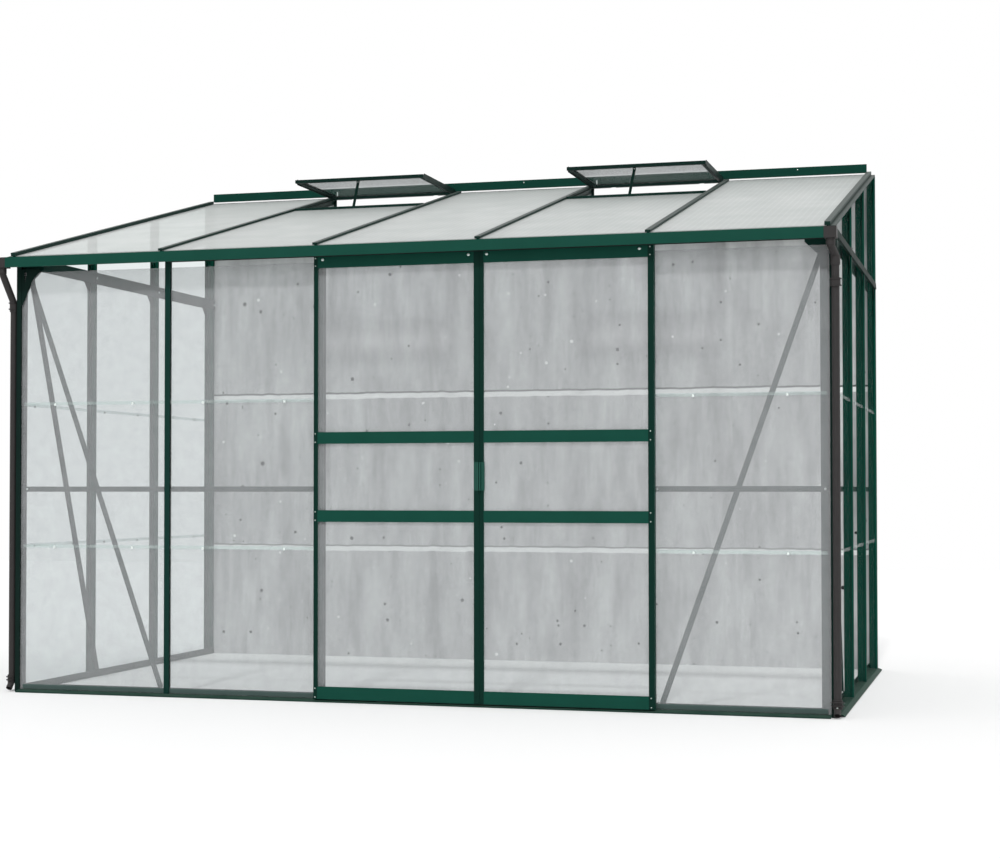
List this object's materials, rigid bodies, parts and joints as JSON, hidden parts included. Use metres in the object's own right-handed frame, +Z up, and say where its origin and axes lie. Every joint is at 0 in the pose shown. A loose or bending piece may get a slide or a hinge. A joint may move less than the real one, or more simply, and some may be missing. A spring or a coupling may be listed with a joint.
{
  "type": "lean to greenhouse",
  "caption": "Lean to greenhouse of green metal bars and clear panes with hanging sliding doors, opening roof vents, a front gutter and downpipes.",
  "frame": {"origin": "on the ground, in the middle of the whole object's plan", "axes": "+Z up, +X to the right along the front as seen from outside, +Y from the front to the house wall"},
  "size_m": [3.2154, 1.97, 2.2045],
  "materials": {
    "green": "satin powder coat",
    "sill_green": "satin powder coat",
    "rafter_green": "satin powder coat",
    "clear_glass": "clear",
    "milky_sheet": "milky",
    "anthracite_plastic": "matt",
    "roller_nylon": "moulded",
    "handle_green": "moulded"
  },
  "bodies": {
    "greenhouse": {"bracing_end_left": "green", "bracing_end_right": "green", "bracing_front_left": "green", "bracing_front_right": "green", "corner_post_left": "green", "corner_post_right": "green", "door_jamb_left": "green", "door_jamb_right": "green", "downpipe_left": "anthracite_plastic", "downpipe_right": "anthracite_plastic", "end_bar_left_1": "green", "end_bar_left_2": "green", "end_bar_right_1": "green", "end_bar_right_2": "green", "end_pane_left_1": "clear_glass", "end_pane_left_2": "clear_glass", "end_pane_left_3": "clear_glass", "end_pane_right_1": "clear_glass", "end_pane_right_2": "clear_glass", "end_pane_right_3": "clear_glass", "front_bar": "green", "front_pane_1": "clear_glass", "front_pane_2": "clear_glass", "front_pane_5": "clear_glass", "gutter_and_eaves_beam": "green", "rafter_1": "rafter_green", "rafter_2": "rafter_green", "rafter_3": "rafter_green", "rafter_4": "rafter_green", "rafter_5": "rafter_green", "rafter_6": "rafter_green", "roof_sheet_1": "milky_sheet", "roof_sheet_2": "milky_sheet", "roof_sheet_3": "milky_sheet", "roof_sheet_4": "milky_sheet", "roof_sheet_5": "milky_sheet", "sill_front": "sill_green", "sill_left": "sill_green", "sill_right": "sill_green", "vent_sill_1": "rafter_green", "vent_sill_2": "rafter_green", "wall_plate": "green", "wall_post_left": "green", "wall_post_right": "green"},
    "door_left": {"door_frame_left": "green", "door_pane_left": "clear_glass", "handle_left": "handle_green"},
    "roller_left_1": {"roller_left_1": "roller_nylon"},
    "roller_left_2": {"roller_left_2": "roller_nylon"},
    "door_right": {"door_frame_right": "green", "door_pane_right": "clear_glass", "handle_right": "handle_green"},
    "roller_right_1": {"roller_right_1": "roller_nylon"},
    "roller_right_2": {"roller_right_2": "roller_nylon"},
    "vent_1": {"vent_frame_1": "green", "vent_pane_1": "clear_glass"},
    "stay_1": {"vent_stay_1": "green"},
    "vent_2": {"vent_frame_2": "green", "vent_pane_2": "clear_glass"},
    "stay_2": {"vent_stay_2": "green"}
  },
  "joints": [
    {"name": "door_left_slide", "type": "slide", "parent": "greenhouse", "child": "door_left", "axis": [-1, 0, 0], "range_m": [0, 0.59]},
    {"name": "roller_left_1_spin", "type": "hinge", "parent": "door_left", "child": "roller_left_1", "pos_m": [-0.27185, -0.93575, 1.6603], "axis": [0, -1, 0], "continuous": true},
    {"name": "roller_left_2_spin", "type": "hinge", "parent": "door_left", "child": "roller_left_2", "pos_m": [0.28365, -0.93575, 1.6603], "axis": [0, -1, 0], "continuous": true},
    {"name": "door_right_slide", "type": "slide", "parent": "greenhouse", "child": "door_right", "axis": [1, 0, 0], "range_m": [0, 0.59]},
    {"name": "roller_right_1_spin", "type": "hinge", "parent": "door_right", "child": "roller_right_1", "pos_m": [0.36415, -0.93575, 1.6603], "axis": [0, 1, 0], "continuous": true},
    {"name": "roller_right_2_spin", "type": "hinge", "parent": "door_right", "child": "roller_right_2", "pos_m": [0.91965, -0.93575, 1.6603], "axis": [0, 1, 0], "continuous": true},
    {"name": "vent_1_hinge", "type": "hinge", "parent": "greenhouse", "child": "vent_1", "pos_m": [-0.60435, 0.95765, 2.15938], "axis": [-1, 0, 0], "range_deg": [-13.3, 30]},
    {"name": "stay_1_pivot", "type": "hinge", "parent": "vent_1", "child": "stay_1", "pos_m": [-0.61235, 0.45448, 2.14598], "axis": [0, 1, 0.0028], "range_deg": [-100, 78]},
    {"name": "vent_2_hinge", "type": "hinge", "parent": "greenhouse", "child": "vent_2", "pos_m": [0.63565, 0.95765, 2.15938], "axis": [-1, 0, 0], "range_deg": [-13.3, 30]},
    {"name": "stay_2_pivot", "type": "hinge", "parent": "vent_2", "child": "stay_2", "pos_m": [0.62765, 0.45448, 2.14598], "axis": [0, 1, 0.0028], "range_deg": [-100, 78]}
  ],
  "couplings": [
    {"joint": "roller_left_1_spin", "follows": "door_left_slide", "rad_per_m": 90.909},
    {"joint": "roller_left_2_spin", "follows": "door_left_slide", "rad_per_m": 90.909},
    {"joint": "roller_right_1_spin", "follows": "door_right_slide", "rad_per_m": 90.909},
    {"joint": "roller_right_2_spin", "follows": "door_right_slide", "rad_per_m": 90.909}
  ]
}
